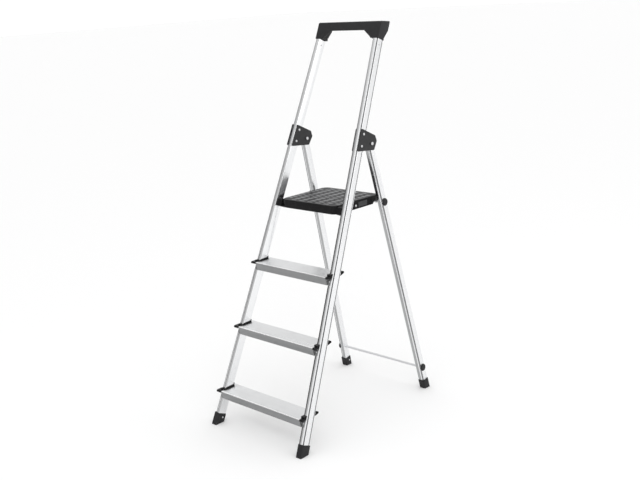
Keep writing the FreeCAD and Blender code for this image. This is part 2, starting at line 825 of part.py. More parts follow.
def build_foot(label, place, section, length, tube_start, below=30.0):
    """Sleeve over a leg end, cut level with the floor."""
    body = new_body(label + "_sleeve", place)
    x0, x1, y0, y1 = section
    skin = number_of(size("foot_skin"))
    outer = new_sketch(body, label + "_outer", "XY_Plane", -below)
    add_loop(outer, [(x0 - skin, y0 - skin), (x1 + skin, y0 - skin),
                     (x1 + skin, y1 + skin), (x0 - skin, y1 + skin)])
    pad(body, outer, length + below)
    round_edges(body, 3.0, is_along(2))
    inner = new_sketch(body, label + "_inner", "XY_Plane", length)
    gap = 0.15
    add_loop(inner, [(x0 - gap, y0 - gap), (x1 + gap, y0 - gap),
                     (x1 + gap, y1 + gap), (x0 - gap, y1 + gap)])
    pocket(body, inner, length - tube_start + 0.2)
    floor = box(label + "_floor", (120.0, 160.0, 60.0),
                FreeCAD.Placement(place.Base + FreeCAD.Vector(-60, -80, -60), FreeCAD.Rotation()))
    return keep(subtract(label, body, floor))


def build_feet():
    width = number_of(size("stile_width"))
    depth = number_of(size("stile_depth"))
    for name, side in SIDES:
        spans = (-width, 0.0) if side > 0 else (0.0, width)
        build_foot("foot_front_" + name, stile_frame(side), spans + (0.0, depth),
                   size("front_foot_length"), number_of(size("stile_start")))
    half_w = number_of(size("rear_width")) / 2
    half_d = number_of(size("rear_depth")) / 2
    for name, side in SIDES:
        build_foot("foot_rear_" + name, rear_frame_at(side, 0.0),
                   (-half_w, half_w, -half_d, half_d), size("rear_foot_length"), 12.0)


def build_foot_screws():
    """Pan screws on the inner side of each foot."""
    front = []
    rear = []
    skin = number_of(size("foot_skin"))
    for name, side in SIDES:
        spots = (
            (front, stile_frame(side), -side * (number_of(size("stile_width")) + skin),
             number_of(size("stile_depth")) * 0.62, 34.0),
            (rear, rear_frame_at(side, 0.0), -side * (number_of(size("rear_width")) / 2 + skin),
             4.0, 24.0))
        for group, place, x, y, along in spots:
            local = FreeCAD.Placement(FreeCAD.Vector(x, y, along),
                                      FreeCAD.Rotation(FreeCAD.Vector(0, 1, 0), -90 * side))
            shape = Part.makeCylinder(3.6, 1.2).fuse(
                Part.makeCone(3.6, 2.0, 0.9, FreeCAD.Vector(0, 0, 1.2))).removeSplitter()
            shape.Placement = place.multiply(local)
            group.append(shape)
    solid_group("foot_screws_front", front)
    solid_group("foot_screws_rear", rear)


# -------------------------------------------------------------------- platform

# y of the platform's pivot, behind the stiles' floor line
PIN_Y = SLOPE * number_of(size("deck_pin_height")) + 19.0


def build_deck():
    """Moulded platform: skirted deck, ribs below, rod saddle at the rear."""
    half = size("deck_half_width")
    front_y = number_of(size("deck_front"))
    depth = size("deck_rear") - size("deck_front")
    tall = size("deck_height")
    skin = size("deck_skin")
    top = number_of(size("deck_top"))
    body = new_body("platform_deck_shell", level(0, front_y, top))

    slab = new_sketch(body, "deck_outline", "XY_Plane")
    add_loop(slab, [(-half, 0), (half, 0), (half, depth), (-half, depth)])
    pad(body, slab, tall, backwards=True)
    round_edges(body, size("deck_corner"), is_along(2))
    round_edges(body, 2.0, lambda a, b: a.z > -1e-6 and b.z > -1e-6)

    under = new_sketch(body, "deck_hollow", "XY_Plane", -tall)
    corner = 16.0
    x = half - skin
    y0 = skin
    y1 = depth - skin
    add_loop(under, [
        (-(x - corner), y0), (x - corner, y0), (x, skin + corner), (x, y1 - corner),
        (x - corner, y1), (-(x - corner), y1), (-x, y1 - corner), (-x, skin + corner)])
    pocket(body, under, tall - skin, backwards=True)

    ribs = new_sketch(body, "deck_ribs", "XY_Plane", -skin + 0.5)
    for share in (-0.66, -0.33, 0.0, 0.33, 0.66):
        add_loop(ribs, [
            (half * share - 1.1, skin - 0.5), (half * share + 1.1, skin - 0.5),
            (half * share + 1.1, y1 + 0.5), (half * share - 1.1, y1 + 0.5)])
    pad(body, ribs, 9.0, backwards=True)

    tools = []
    for name, side in SIDES:
        pin = FreeCAD.Placement(
            FreeCAD.Vector(side * 100.0, PIN_Y + FRONT_LINE, number_of(size("deck_pin_height"))),
            FreeCAD.Rotation(FreeCAD.Vector(0, 1, 0), 90 * side))
        tools.append(cylinder("deck_pin_hole_" + name,
                              size("deck_pin_radius") + size("running_gap"), 80.0, pin))
        rivet = FreeCAD.Placement(
            FreeCAD.Vector(side * 100.0, number_of(size("side_rivet_back")) + FRONT_LINE,
                           number_of(size("side_rivet_height"))),
            FreeCAD.Rotation(FreeCAD.Vector(0, 1, 0), 90 * side))
        tools.append(cylinder("deck_rivet_hole_" + name, 2.55, 80.0, rivet))

    # saddle: open below, so the rod leaves forwards and down as the legs close
    saddle = new_body("deck_saddle", level(0, 0, 0))
    cut = new_sketch(saddle, "saddle_outline", "YZ_Plane")
    rod_y = rear_centre(1, number_of(size("rod_height"))).y - FRONT_LINE
    rod_z = number_of(size("rod_height"))
    room = number_of(size("rod_radius")) + 0.35
    bottom = top - number_of(tall) - 2.0
    fall = rod_z - bottom
    add_loop(cut, [
        (rod_y + room, bottom), (rod_y + room, rod_z + 2.5), (rod_y + 4.0, rod_z + room),
        (rod_y - 4.0, rod_z + room), (rod_y - room, rod_z + 2.5),
        (rod_y - room - 0.3, rod_z - 1.0), (rod_y - room - fall * 0.9, bottom)])
    pad(saddle, cut, 2 * number_of(half) + 20.0, both_ways=True)
    tools.append(saddle)
    joined = unite("deck_openings", tools[0], tools[1:])
    bosses = []
    for name, side in SIDES:
        place = FreeCAD.Placement(
            FreeCAD.Vector(side * (number_of(half) - 12.0), PIN_Y + FRONT_LINE,
                           number_of(size("deck_pin_height"))),
            FreeCAD.Rotation(FreeCAD.Vector(0, 1, 0), 90 * side))
        bosses.append(cylinder("deck_boss_" + name, 9.0, 10.0, place))
    whole = unite("deck_with_bosses", body, bosses)
    return keep(subtract("platform_deck", whole, joined))


def build_stiffener():
    """Folded aluminium strip across the underside, held by the two side rivets."""
    y = number_of(size("side_rivet_back"))
    top = number_of(size("deck_top")) - number_of(size("deck_skin")) - 9.0
    half = number_of(size("deck_half_width")) - number_of(size("deck_skin")) - 0.3
    body = new_body("platform_stiffener_strip", level(0, y, top))
    sketch = new_sketch(body, "stiffener_outline", "XZ_Plane")
    add_loop(sketch, [
        (-half, 0), (half, 0), (half, -17.0), (half - 1.8, -17.0), (half - 1.8, -1.8),
        (-(half - 1.8), -1.8), (-(half - 1.8), -17.0), (-half, -17.0)])
    pad(body, sketch, 24.0, both_ways=True)
    hole = cylinder("stiffener_hole", 2.55, 400.0, FreeCAD.Placement(
        FreeCAD.Vector(-200.0, y + FRONT_LINE, number_of(size("side_rivet_height"))), ALONG_X))
    return keep(subtract("platform_stiffener", body, hole))


def build_side_rivets():
    """Rivets that hold the stiffener to the platform's skirts."""
    shapes = []
    skin = number_of(size("deck_skin"))
    half = number_of(size("deck_half_width"))
    for name, side in SIDES:
        start = side * (half - skin - 2.2)
        place = FreeCAD.Placement(
            FreeCAD.Vector(start, number_of(size("side_rivet_back")) + FRONT_LINE,
                           number_of(size("side_rivet_height"))),
            FreeCAD.Rotation(FreeCAD.Vector(0, 1, 0), 90 * side))
        shapes.append(domed_pin(place, 2.5, skin + 2.3, 4.4, 1.6))
    return solid_group("platform_side_rivets", shapes)


def build_pivot_blocks():
    """Spacer block on each stile's inner side, and the pin it carries."""
    z = number_of(size("deck_pin_height"))
    half = number_of(size("deck_half_width"))
    pins = []
    for name, side in SIDES:
        stile = stile_frame(side)
        lean = math.atan(SLOPE)
        along = z / math.cos(lean) + 19.0 * math.sin(lean)
        body = new_body("pivot_block_%s_blank" % name, stile)
        width = number_of(size("stile_width"))
        sketch = new_sketch(body, name + "_block_outline", "YZ_Plane", -side * (width + 0.05))
        middle = number_of(size("stile_depth")) / 2
        add_loop(sketch, [
            (middle - 13.0, along - 16.0), (middle + 13.0, along - 16.0),
            (middle + 13.0, along + 10.0), (middle + 7.0, along + 16.0),
            (middle - 7.0, along + 16.0), (middle - 13.0, along + 10.0)])
        pad(body, sketch, 60.0, backwards=side > 0)
        trim = box(name + "_block_trim", (2 * (half + 1.2), 200.0, 200.0), FreeCAD.Placement(
            FreeCAD.Vector(-(half + 1.2), PIN_Y + FRONT_LINE - 100.0, z - 100.0),
            FreeCAD.Rotation()))
        hole = cylinder(name + "_block_hole", size("deck_pin_radius") + 0.02, 80.0,
                        FreeCAD.Placement(FreeCAD.Vector(side * 120.0, PIN_Y + FRONT_LINE, z),
                                          FreeCAD.Rotation(FreeCAD.Vector(0, 1, 0), 90 * side)))
        joined = unite(name + "_block_cut", trim, [hole])
        keep(subtract("pivot_block_" + name, body, joined))

        inner = stile_inner(z)
        radius = number_of(size("deck_pin_radius"))
        length = inner - half + 10.0
        shape = Part.makeCylinder(radius, length - 1.6)
        shape.Placement = FreeCAD.Placement(
            FreeCAD.Vector(side * (half - 10.0), PIN_Y + FRONT_LINE, z),
            FreeCAD.Rotation(FreeCAD.Vector(0, 1, 0), 90 * side))
        pins.append(shape)
    return solid_group("platform_pins", pins)


# ------------------------------------------------------- rivets on the stiles

def build_tread_rivets():
    """One rivet through each tab of every tread."""
    shapes = []
    tab_face = 0.3 + number_of(size("flange_skin"))
    for number in range(3):
        height = tread_height(number)
        for name, side in SIDES:
            z = height - 18.5
            x = side * (stile_inner(z) + 6.5)
            y = SLOPE * z - tab_face + FRONT_LINE
            lean = math.degrees(math.atan(SLOPE))
            turn = FreeCAD.Rotation(FreeCAD.Vector(1, 0, 0), 90 - lean)
            shape = Part.makeCylinder(3.6, 0.7).fuse(
                Part.makeCone(3.6, 1.8, 0.9, FreeCAD.Vector(0, 0, 0.7))).removeSplitter()
            shape.Placement = FreeCAD.Placement(FreeCAD.Vector(x, y, z), turn)
            shapes.append(shape)
    return solid_group("tread_rivets", shapes)


def build_tray_rivets():
    """Rivets through each stile's webs into the tray's plugs."""
    shapes = []
    width = number_of(size("stile_width"))
    along = number_of(size("stile_end")) - 22.0
    middle = number_of(size("stile_depth")) * 0.45
    for name, side in SIDES:
        for x, turn in ((0.0, 90 * side), (-side * width, -90 * side)):
            local = FreeCAD.Placement(FreeCAD.Vector(x, middle, along),
                                      FreeCAD.Rotation(FreeCAD.Vector(0, 1, 0), turn))
            shape = Part.makeCylinder(3.4, 0.7).fuse(
                Part.makeCone(3.4, 1.8, 0.9, FreeCAD.Vector(0, 0, 0.7))).removeSplitter()
            shape.Placement = stile_frame(side).multiply(local)
            shapes.append(shape)
    return solid_group("tray_rivets", shapes)


for side_name, side_sign in SIDES:
    build_stile(side_name, side_sign)
for tread_number, tread_name in enumerate(TREADS):
    build_tread(tread_name, tread_number)
    for side_name, side_sign in SIDES:
        build_clip(tread_name, side_name, tread_number, side_sign)
build_tread_rivets()
build_tray()
build_tray_rivets()
for side_name, side_sign in SIDES:
    build_plate(side_name, side_sign, "outer", True)
    build_plate(side_name, side_sign, "inner", False)
build_hinge_rivets()
build_hinge_pins()
for side_name, side_sign in SIDES:
    build_rear_leg(side_name, side_sign)
build_bushes()
build_rod("platform_rod", number_of(size("rod_height")), number_of(size("rod_radius")), 1.4)
build_rod("lower_brace", number_of(size("brace_height")), number_of(size("brace_radius")), 1.2)
for side_name, side_sign in SIDES:
    build_cap("rod_cap", side_name, side_sign, number_of(size("rod_height")),
              number_of(size("rod_radius")))
    build_cap("brace_cap", side_name, side_sign, number_of(size("brace_height")),
              number_of(size("brace_radius")))
build_feet()
build_foot_screws()
build_deck()
build_stiffener()
build_side_rivets()
build_pivot_blocks()

doc.recompute()

for item in doc.Objects:
    if "Invalid" in item.State or "Error" in item.State:
        raise ValueError("%s is %s" % (item.Label, item.State))
os.makedirs("parts", exist_ok=True)
for item in SUBPARTS:
    shape = item.Shape
    if shape.isNull() or not shape.isValid() or not shape.Solids:
        raise ValueError("bad shape: " + item.Label)
    shape.exportStep("parts/%s.step" % item.Label)
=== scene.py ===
import json
import math

import bmesh
import bpy
from mathutils import Matrix, Vector

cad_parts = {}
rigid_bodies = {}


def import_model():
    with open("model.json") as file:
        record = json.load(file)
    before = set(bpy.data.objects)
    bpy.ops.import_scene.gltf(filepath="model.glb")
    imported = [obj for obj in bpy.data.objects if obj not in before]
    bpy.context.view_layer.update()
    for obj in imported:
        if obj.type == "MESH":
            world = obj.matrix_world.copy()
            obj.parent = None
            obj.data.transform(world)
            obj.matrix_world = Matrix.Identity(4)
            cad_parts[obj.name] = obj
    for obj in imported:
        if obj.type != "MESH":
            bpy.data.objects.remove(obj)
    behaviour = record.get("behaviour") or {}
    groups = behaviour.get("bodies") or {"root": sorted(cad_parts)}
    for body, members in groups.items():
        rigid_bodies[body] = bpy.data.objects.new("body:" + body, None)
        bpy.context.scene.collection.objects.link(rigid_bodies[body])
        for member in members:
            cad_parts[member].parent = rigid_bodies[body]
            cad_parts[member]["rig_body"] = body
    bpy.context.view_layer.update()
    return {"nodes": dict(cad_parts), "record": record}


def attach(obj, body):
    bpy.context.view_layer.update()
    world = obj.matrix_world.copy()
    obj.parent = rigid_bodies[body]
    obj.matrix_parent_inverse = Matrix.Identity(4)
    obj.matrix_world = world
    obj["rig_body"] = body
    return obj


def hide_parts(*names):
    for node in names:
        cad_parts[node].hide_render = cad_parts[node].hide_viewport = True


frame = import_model()

SIDES = (("left", -1), ("right", 1))

# ---------------------------------------------------------------- sizes, metres

FRONT_LINE = -0.3915
STILE_SPREAD = 0.2448
STILE_NARROWING = 0.059
STILE_SLOPE = 0.438
STILE_WIDTH = 0.0226
STILE_DEPTH = 0.0347
STILE_START = 0.021
STILE_END = 1.5746
STILE_FLAT = 0.0124            # flat part of the front face, next to the treads
STILE_GROOVE = 0.0049          # width of the corner groove with its outer lip
LEAN = math.atan(STILE_SLOPE)

TREADS = (("lower", 0.1328), ("middle", 0.3713), ("upper", 0.6098))
NOSE_REACH = 0.0242
TREAD_DEPTH = 0.0855
TREAD_SKIN = 0.0018
TREAD_LIP_DROP = 0.018
TREAD_LIP = 0.008
TREAD_END_GAP = 0.0049         # from the stile's inner face to the tread's top
FLANGE_DROP = 0.0326
FLANGE_BACK = 0.0069
FLANGE_SKIN = 0.0026
TAB_LAP = 0.0136
TAB_DROP = 0.013
TAB_GAP = 0.0003

HINGE = Vector((0.0, 0.1481, 1.057))
HINGE_PLATE_FACE = 0.00335     # from a stile's web to the outside of the plate on it
REAR_SPREAD_FLOOR = 0.2176
REAR_SPREAD_HINGE = 0.1698
REAR_SLOPE = 0.217
REAR_WIDTH = 0.024
REAR_DEPTH = 0.0273
REAR_GROOVE = 0.0052
REAR_WALL = 0.0015

DECK_TOP = 0.845
DECK_HALF = 0.1453
DECK_FRONT = 0.3633
DECK_REAR = 0.6193
DECK_BORDER = 0.0095           # smooth margin round the pads
DECK_CORNER = 0.021            # corner radius of that margin
PAD_PITCH = (0.0425, 0.0246)
PAD_HALF = (0.0126, 0.0081)
PAD_MIDDLE = 0.497             # row of pads that the others are counted from, behind the stiles' foot
PAD_RIB = (0.0109, 0.0137)     # rib between two rows, measured from the row in front


# ------------------------------------------------------------------- placements

def placement(origin, up):
    """Matrix with local z along up and local x as near world x as it can be."""
    z_axis = Vector(up).normalized()
    x_axis = Vector((1, 0, 0))
    x_axis = (x_axis - z_axis * x_axis.dot(z_axis)).normalized()
    y_axis = z_axis.cross(x_axis)
    turn = Matrix((x_axis, y_axis, z_axis)).transposed().to_4x4()
    return Matrix.Translation(Vector(origin)) @ turn


def stile_frame(side):
    """Origin on the floor at the stile's outer front edge, z up the stile, y into its depth."""
    return placement((side * STILE_SPREAD, FRONT_LINE, 0), (-side * STILE_NARROWING, STILE_SLOPE, 1))


def stile_inner(height):
    """Distance from the middle to the stile's inner face."""
    return STILE_SPREAD - STILE_NARROWING * height - STILE_WIDTH


def rear_direction(side):
    """Vector up a rear leg, one metre high."""
    spread = (REAR_SPREAD_FLOOR - REAR_SPREAD_HINGE) / HINGE.z
    return Vector((-side * spread, -REAR_SLOPE, 1))


def rear_centre(side, height):
    """Middle of a rear leg at a height."""
    top = Vector((side * REAR_SPREAD_HINGE, HINGE.y, HINGE.z))
    return top + rear_direction(side) * (height - HINGE.z)


def rear_frame(side):
    """Origin on the floor in the middle of a rear leg, z up the leg."""
    return placement(rear_centre(side, 0.0), rear_direction(side))


def along_x(centre, turn=1):
    """Matrix with local z along world x at a point."""
    return Matrix.Translation(centre) @ Matrix.Rotation(turn * math.pi / 2, 4, "Y")


# -------------------------------------------------------------------- materials

class Nodes:
    """Short way to add and join shader nodes of one material."""

    def __init__(self, name):
        self.material = bpy.data.materials.new(name)
        self.material.use_nodes = True
        self.tree = self.material.node_tree
        self.shader = self.tree.nodes["Principled BSDF"]

    def add(self, kind, values=None, **settings):
        node = self.tree.nodes.new(kind)
        for key, value in settings.items():
            setattr(node, key, value)
        for key, value in (values or {}).items():
            if isinstance(value, bpy.types.NodeSocket):
                self.tree.links.new(value, node.inputs[key])
            else:
                node.inputs[key].default_value = value
        return node

    def link(self, output, name):
        self.tree.links.new(output, self.shader.inputs[name])

    def set(self, name, value):
        self.shader.inputs[name].default_value = value

    def coordinates(self, source, scale):
        where = self.add("ShaderNodeTexCoord").outputs[source]
        return self.add("ShaderNodeMapping", {"Vector": where, "Scale": scale}).outputs["Vector"]

    def noise(self, source, scale, detail=3.0, rough=0.55):
        vector = self.coordinates(source, scale)
        return self.add("ShaderNodeTexNoise", {
            "Vector": vector, "Scale": 1.0, "Detail": detail, "Roughness": rough}).outputs["Fac"]

    def spread(self, factor, low, high, start=0.25, stop=0.75):
        return self.add("ShaderNodeMapRange", {
            "Value": factor, "From Min": start, "From Max": stop,
            "To Min": low, "To Max": high}).outputs["Result"]

    def bump(self, height, strength, distance):
        return self.add("ShaderNodeBump", {
            "Height": height, "Strength": strength, "Distance": distance}).outputs["Normal"]

    def edges(self, low=0.5, high=0.62):
        """Factor that rises on convex edges, where the finish wears."""
        where = self.add("ShaderNodeNewGeometry").outputs["Pointiness"]
        return self.add("ShaderNodeMapRange", {
            "Value": where, "From Min": low, "From Max": high}).outputs["Result"]

    def mix(self, factor, first, second):
        node = self.add("ShaderNodeMix", data_type="RGBA")
        for key, value in (("Factor", factor), ("A", first), ("B", second)):
            socket = [s for s in node.inputs if s.name == key and s.enabled][0]
            if isinstance(value, bpy.types.NodeSocket):
                self.tree.links.new(value, socket)
            else:
                socket.default_value = value if key == "Factor" else (*value, 1)
        return [s for s in node.outputs if s.enabled][0]


def aluminium(name, source, along, across, base, rough, tint=0.05):
    """Drawn aluminium: long die lines, faint handling marks and varied gloss."""
    n = Nodes(name)
    if source == "UV":
        lines = n.noise("UV", (across, along, 1.0), 4.0, 0.65)
        broad = n.noise("UV", (across * 0.12, along * 0.3, 1.0), 2.0)
    else:
        lines = n.noise("Object", (along, across, across), 4.0, 0.65)
        broad = n.noise("Object", (along * 0.3, across * 0.12, across * 0.12), 2.0)
    marks = n.noise("Object", (34.0, 34.0, 34.0), 5.0, 0.7)
    dark = [c * (1 - 2 * tint) for c in base]
    light = [min(1.0, c * (1 + tint)) for c in base]
    shade = n.mix(n.spread(lines, 0.0, 1.0), dark, light)
    shade = n.mix(n.spread(marks, 0.0, 0.12, 0.55, 0.8), shade, [c * 0.75 for c in base])
    n.link(shade, "Base Color")
    n.set("Metallic", 1.0)
    gloss = n.spread(broad, rough - 0.05, rough + 0.08)
    scuffed = n.add("ShaderNodeMath", {0: gloss, 1: n.spread(marks, 0.0, 0.12, 0.5, 0.8)},
                    operation="ADD")
    n.link(scuffed.outputs[0], "Roughness")
    n.link(n.bump(lines, 0.16, 0.00012), "Normal")
    return n.material


def moulded(name, base, rough, grain, depth, worn=0.35, shine=0.3):
    """Moulded plastic or rubber: fine spark grain, flow shading, paler worn edges."""
    n = Nodes(name)
    fine = n.noise("Object", (grain, grain, grain), 4.0, 0.6)
    flow = n.noise("Object", (14.0, 14.0, 22.0), 3.0)
    dust = n.noise("Object", (90.0, 90.0, 60.0), 6.0, 0.7)
    shade = n.mix(n.spread(flow, 0.0, 1.0), [c * 0.8 for c in base], [c * 1.25 for c in base])
    shade = n.mix(n.spread(dust, 0.0, 0.06, 0.5, 0.8), shade, [0.2, 0.195, 0.185])
    edge = n.add("ShaderNodeMath", {0: n.edges(), 1: worn}, operation="MULTIPLY").outputs[0]
    shade = n.mix(edge, shade, [min(1.0, c * 2.2 + 0.012) for c in base])
    n.link(shade, "Base Color")
    n.link(n.spread(fine, rough - 0.06, rough + 0.08), "Roughness")
    n.set("Specular IOR Level", shine)
    n.link(n.bump(fine, 0.35, depth), "Normal")
    return n.material


def zinc(name):
    """Bright plated steel with a light scatter of pits and rubbing."""
    n = Nodes(name)
    pits = n.noise("Object", (700.0, 700.0, 700.0), 3.0)
    rub = n.noise("Object", (160.0, 160.0, 160.0), 5.0, 0.7)
    shade = n.mix(n.spread(rub, 0.0, 1.0), [0.5, 0.5, 0.51], [0.72, 0.72, 0.73])
    n.link(shade, "Base Color")
    n.set("Metallic", 1.0)
    n.link(n.spread(rub, 0.22, 0.42), "Roughness")
    n.link(n.bump(pits, 0.2, 0.0001), "Normal")
    return n.material


STILE_METAL = aluminium("stile metal", "UV", 2.2, 900.0, (0.88, 0.885, 0.895), 0.15, 0.03)
# Painted shade: this dark copy of the aluminium stands in for the shade inside the stiles' and rear legs'
# grooves.
GROOVE_SHADE_METAL = aluminium("groove painted shade metal", "UV", 2.2, 900.0, (0.2, 0.202, 0.208), 0.42)
# Painted shade: a darker copy of the stile metal for the stiles' front bevels.
BEVEL_SHADE_METAL = aluminium("bevel painted shade metal", "UV", 2.2, 900.0, (0.77, 0.775, 0.785), 0.18, 0.03)
REAR_METAL = aluminium("rear leg metal", "UV", 2.2, 900.0, (0.85, 0.855, 0.865), 0.24, 0.03)
# Painted shade: a dark copy of the rear leg metal for the legs' flat fronts.
REAR_FRONT_SHADE_METAL = aluminium("rear leg front painted shade metal", "UV", 2.2, 900.0, (0.42, 0.424, 0.43), 0.18, 0.03)
TREAD_METAL = aluminium("tread metal", "Object", 3.0, 700.0, (0.68, 0.685, 0.69), 0.3, 0.03)
# Painted highlight: a brighter copy of the tread metal for the rolled nose.
NOSE_HIGHLIGHT_METAL = aluminium("tread nose painted highlight metal", "Object", 3.0, 900.0, (0.93, 0.932, 0.935), 0.25, 0.02)
# Painted shade: a dark copy of the tread metal for the front flange and tabs.
FLANGE_SHADE_METAL = aluminium("tread flange painted shade metal", "Object", 3.0, 700.0, (0.3, 0.303, 0.306), 0.45, 0.03)
TUBE_METAL = aluminium("cross tube metal", "Object", 3.0, 900.0, (0.72, 0.725, 0.735), 0.3)
DECK_PLASTIC = moulded("platform plastic", (0.005, 0.005, 0.0055), 0.42, 1500.0, 0.00016, 0.15, 0.12)
PANEL_PLASTIC = moulded("platform panel plastic", (0.035, 0.036, 0.038), 0.45, 1500.0, 0.00016, 0.2)
GRIP_PLASTIC = moulded("platform grip plastic", (0.125, 0.127, 0.131), 0.4, 1500.0, 0.00016, 0.35)
TRAY_PLASTIC = moulded("tray plastic", (0.012, 0.012, 0.013), 0.5, 1300.0, 0.00018, 0.2)
PLATE_PLASTIC = moulded("hinge plate plastic", (0.018, 0.018, 0.019), 0.45, 1400.0, 0.00015, 0.2)
FOOT_RUBBER = moulded("foot rubber", (0.01, 0.01, 0.011), 0.6, 800.0, 0.0003, 0.3)
CLIP_PLASTIC = moulded("clip plastic", (0.004, 0.004, 0.0045), 0.4, 1400.0, 0.00012, 0.2, 0.15)
CAP_PLASTIC = moulded("cap plastic", (0.007, 0.007, 0.008), 0.4, 1400.0, 0.00012, 0.2)
BUSH_NYLON = moulded("bush nylon", (0.5, 0.49, 0.45), 0.4, 900.0, 0.0001, 0.1)
ZINC = zinc("bright zinc")

METALS = {
    "extruded_aluminium": TUBE_METAL, "tread_aluminium": TREAD_METAL,
    "platform_plastic": DECK_PLASTIC, "tray_plastic": TRAY_PLASTIC,
    "hinge_plate_plastic": PLATE_PLASTIC, "foot_rubber": FOOT_RUBBER,
    "clip_plastic": CLIP_PLASTIC, "cap_plastic": CAP_PLASTIC,
    "bush_nylon": BUSH_NYLON, "bright_steel": ZINC}
SLOT_OF = {s["node"]: s["material_slot"] for s in frame["record"]["subparts"]}
for node_name, node_object in frame["nodes"].items():
    node_object.data.materials.clear()
    node_object.data.materials.append(METALS[SLOT_OF[node_name]])


# ------------------------------------------------------------------ mesh helpers

def paint(bm, matrix, rule):
    """Give each face the material index that the rule finds from its local normal and centre."""
    back = matrix.inverted()
    turn = back.to_3x3()
    bmesh.ops.recalc_face_normals(bm, faces=bm.faces)
    for face in bm.faces:
        face.material_index = rule(turn @ face.normal, back @ face.calc_center_median())


def finish_piece(name, bm, materials, body, stands_for, smooth=32.0, bevel=None, segments=2):
    """Turn a bmesh into a piece that rides on a body and stands for CAD nodes."""
    bmesh.ops.recalc_face_normals(bm, faces=bm.faces)
    mesh = bpy.data.meshes.new(name)
    bm.to_mesh(mesh)
    bm.free()
    mesh.shade_smooth()
    mesh.set_sharp_from_angle(angle=math.radians(smooth))
    piece = bpy.data.objects.new(name, mesh)
    bpy.context.scene.collection.objects.link(piece)
    for material in materials:
        mesh.materials.append(material)
    if bevel:
        rounding = piece.modifiers.new("rounding", "BEVEL")
        rounding.limit_method = "ANGLE"
        rounding.angle_limit = math.radians(30)
        rounding.width = bevel
        rounding.segments = segments
    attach(piece, body)
    for node in stands_for:
        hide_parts(node)
    return piece


def rounded(points, steps=4):
    """Closed outline with each corner (x, y, radius) turned into an arc."""
    out = []
    count = len(points)
    for i in range(count):
        x, y, radius = points[i]
        here = Vector((x, y))
        before = Vector(points[i - 1][:2]) - here
        after = Vector(points[(i + 1) % count][:2]) - here
        if radius <= 0:
            out.append((x, y))
            continue
        half = before.angle(after) / 2
        reach = min(radius / math.tan(half), before.length * 0.49, after.length * 0.49)
        true = reach * math.tan(half)
        a = here + before.normalized() * reach
        b = here + after.normalized() * reach
        centre = here + (before.normalized() + after.normalized()).normalized() * (true / math.sin(half))
        start = math.atan2(*(a - centre).yx)
        sweep = math.atan2(*(b - centre).yx) - start
        sweep = (sweep + math.pi) % (2 * math.pi) - math.pi
        for k in range(steps + 1):
            angle = start + sweep * k / steps
            out.append((centre.x + true * math.cos(angle), centre.y + true * math.sin(angle)))
    return out


def sweep(bm, loops, matrix, low, high):
    """Prism of closed loops (the first is the outside) between two local heights."""
    layer = bm.loops.layers.uv.verify()
    ends = [[], []]
    for loop in loops:
        rings = []
        for side, z in enumerate((low, high)):
            ring = [bm.verts.new(matrix @ Vector((x, y, z))) for x, y in loop]
            rings.append(ring)
            for i, vert in enumerate(ring):
                ends[side].append((vert, ring[(i + 1) % len(ring)]))
        run = 0.0
        for i in range(len(loop)):
            j = (i + 1) % len(loop)
            width = (Vector(loop[j]) - Vector(loop[i])).length
            face = bm.faces.new((rings[0][i], rings[0][j], rings[1][j], rings[1][i]))
            for corner, uv in zip(face.loops, ((run, low), (run + width, low),
                                               (run + width, high), (run, high))):
                corner[layer].uv = uv
            run += width
    for pairs in ends:
        edges = [bm.edges.get(pair) or bm.edges.new(pair) for pair in pairs]
        bmesh.ops.triangle_fill(bm, use_beauty=True, use_dissolve=False, edges=edges)


def lathe(bm, profile, matrix, segments=32):
    """Closed solid turned from (radius, height) points, on local z."""
    rings = []
    for radius, height in profile:
        if radius < 1e-7:
            rings.append([bm.verts.new(matrix @ Vector((0, 0, height)))])
            continue
        ring = []
        for k in range(segments):
            angle = 2 * math.pi * k / segments
            place = Vector((radius * math.cos(angle), radius * math.sin(angle), height))
            ring.append(bm.verts.new(matrix @ place))
        rings.append(ring)
    for first, second in zip(rings, rings[1:]):
        for k in range(segments):
            j = (k + 1) % segments
            if len(first) == 1 and len(second) == 1:
                continue
            if len(first) == 1:
                bm.faces.new((first[0], second[j], second[k]))
            elif len(second) == 1:
                bm.faces.new((first[k], first[j], second[0]))
            else:
                bm.faces.new((first[k], first[j], second[j], second[k]))
    for ring, order in ((rings[0], -1), (rings[-1], 1)):
        if len(ring) > 1:
            bm.faces.new(ring[::order])


def soften(node, width, segments=2):
    """Copy of a CAD node with its flat faces merged and its edges rounded."""
    source = frame["nodes"][node]
    bm = bmesh.new()
    bm.from_mesh(source.data)
    bmesh.ops.remove_doubles(bm, verts=bm.verts, dist=2e-6)
    bmesh.ops.dissolve_limit(bm, angle_limit=math.radians(1.0), verts=bm.verts, edges=bm.edges)
    body = source["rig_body"]
    return finish_piece(node + "_shape", bm, [METALS[SLOT_OF[node]]], body, [node], 32.0, width, segments)


# ------------------------------------------------------------------ front stiles

def stile_section(side):
    """Flat inner half, bevelled outer half, corner groove, ribbed outer web."""
    w = STILE_WIDTH
    d = STILE_DEPTH
    line = [
        (w, 0.0, 0.0009), (w - STILE_FLAT, 0.0, 0.0012), (STILE_GROOVE, 0.0020, 0.0004),
        (0.0044, 0.0052, 0.0002), (0.0016, 0.0056, 0.0002), (0.0010, 0.0037, 0.0003), (0.0, 0.0044, 0.0004)]
    ribs = 6
    start = 0.0075
    pitch = (d - 0.0078 - start) / ribs
    for i in range(ribs):
        y = start + pitch * i
        line += [(0.0, y, 0), (0.00016, y + 0.0003, 0), (0.00016, y + 0.0009, 0), (0.0, y + 0.0012, 0)]
    line += [(0.0, d - 0.0074, 0.0003), (0.0009, d - 0.0070, 0.0003), (0.0009, d - 0.0034, 0.0003),
             (0.0, d - 0.0028, 0.0004), (0.0012, d, 0.0008),
             (w - 0.0004, d, 0.0008), (w, d - 0.0012, 0.0005)]
    return [(-side * x, y) for x, y in rounded(line, 3)]


